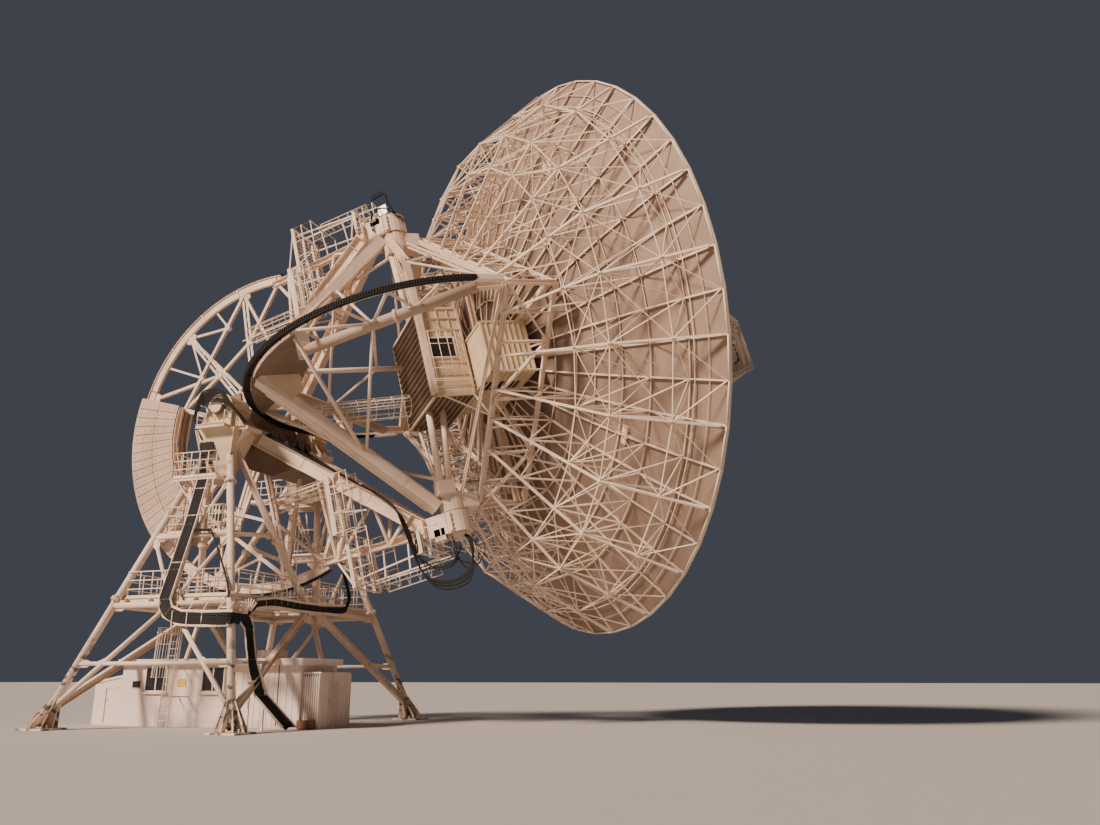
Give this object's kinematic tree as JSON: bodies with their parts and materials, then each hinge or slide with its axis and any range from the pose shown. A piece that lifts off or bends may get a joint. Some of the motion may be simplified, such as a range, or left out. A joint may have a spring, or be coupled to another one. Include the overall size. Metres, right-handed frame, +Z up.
{
  "type": "radio telescope dish",
  "caption": "Steerable parabolic dish on a two-axis mount: lattice tower, counterweighted gear wheels, trussed reflector with feed legs, and an equipment hut below.",
  "frame": {"origin": "on the ground, under the middle of the lower axis", "axes": "+Z up; the lower axis runs along Y; +X is the side to which the dish leans in the rest pose"},
  "size_m": [30.0516, 21.9778, 29.4453],
  "materials": {
    "frame_cream": "weathered cream paint with rust streaks",
    "reflector_panel": "dull painted sheet",
    "gear_dark": "greased dark gear rack",
    "counterweight_plate": "painted stacked plates",
    "counterweight_block": "painted block",
    "hut_white": "flat white paint",
    "housing_yellowed": "yellowed cream paint",
    "feed_white": "white paint"
  },
  "bodies": {
    "tower": {"bearing_pedestal_near": "housing_yellowed", "bearing_pedestal_far": "housing_yellowed", "leg_near_left": "frame_cream", "leg_near_right": "frame_cream", "leg_far_left": "frame_cream", "leg_far_right": "frame_cream", "end_bracing_near": "frame_cream", "end_bracing_far": "frame_cream", "side_bracing_left": "frame_cream", "side_bracing_right": "frame_cream", "service_deck": "frame_cream", "hut_walls": "hut_white", "hut_roof": "hut_white", "store_room": "hut_white", "side_shed": "hut_white", "cable_house": "hut_white"},
    "x_frame": {"lower_axis_shaft": "frame_cream", "upper_bearing_top": "frame_cream", "upper_bearing_bottom": "frame_cream", "yoke_beam_top_near": "frame_cream", "yoke_beam_top_far": "frame_cream", "yoke_beam_bottom_near": "frame_cream", "yoke_beam_bottom_far": "frame_cream", "x_wheel_rim": "frame_cream", "counterweight_near": "counterweight_plate", "counterweight_far": "counterweight_plate", "x_wheel_spokes": "frame_cream", "x_wheel_tie_top": "frame_cream", "x_wheel_tie_bottom": "frame_cream", "access_deck_top": "frame_cream", "access_deck_bottom": "frame_cream"},
    "dish": {"hub_frame": "frame_cream", "trunnion_top": "frame_cream", "trunnion_bottom": "frame_cream", "y_wheel_rim": "gear_dark", "y_counterweight": "counterweight_block", "wheel_beam_top": "frame_cream", "wheel_beam_bottom": "frame_cream", "y_wheel_web": "frame_cream", "receiver_cabin": "housing_yellowed", "vertex_room": "housing_yellowed", "cabin_posts_top": "frame_cream", "cabin_posts_bottom": "frame_cream", "truss_sector_1": "frame_cream", "truss_sector_2": "frame_cream", "truss_sector_3": "frame_cream", "truss_sector_4": "frame_cream", "truss_sector_5": "frame_cream", "truss_sector_6": "frame_cream", "panel_sector_1": "reflector_panel", "panel_sector_2": "reflector_panel", "panel_sector_3": "reflector_panel", "panel_sector_4": "reflector_panel", "panel_sector_5": "reflector_panel", "panel_sector_6": "reflector_panel", "feed_legs": "frame_cream", "feed_box": "feed_white"}
  },
  "joints": [
    {"name": "x_axis", "type": "hinge", "parent": "tower", "child": "x_frame", "pos_m": [0, 0, 13.32], "axis": [0, 1, 0], "range_deg": [-160.3, 9.7]},
    {"name": "y_axis", "type": "hinge", "parent": "x_frame", "child": "dish", "pos_m": [7.92192, 0, 15.39828], "axis": [-0.2538, 0, 0.9673], "range_deg": [-121, 31]}
  ]
}
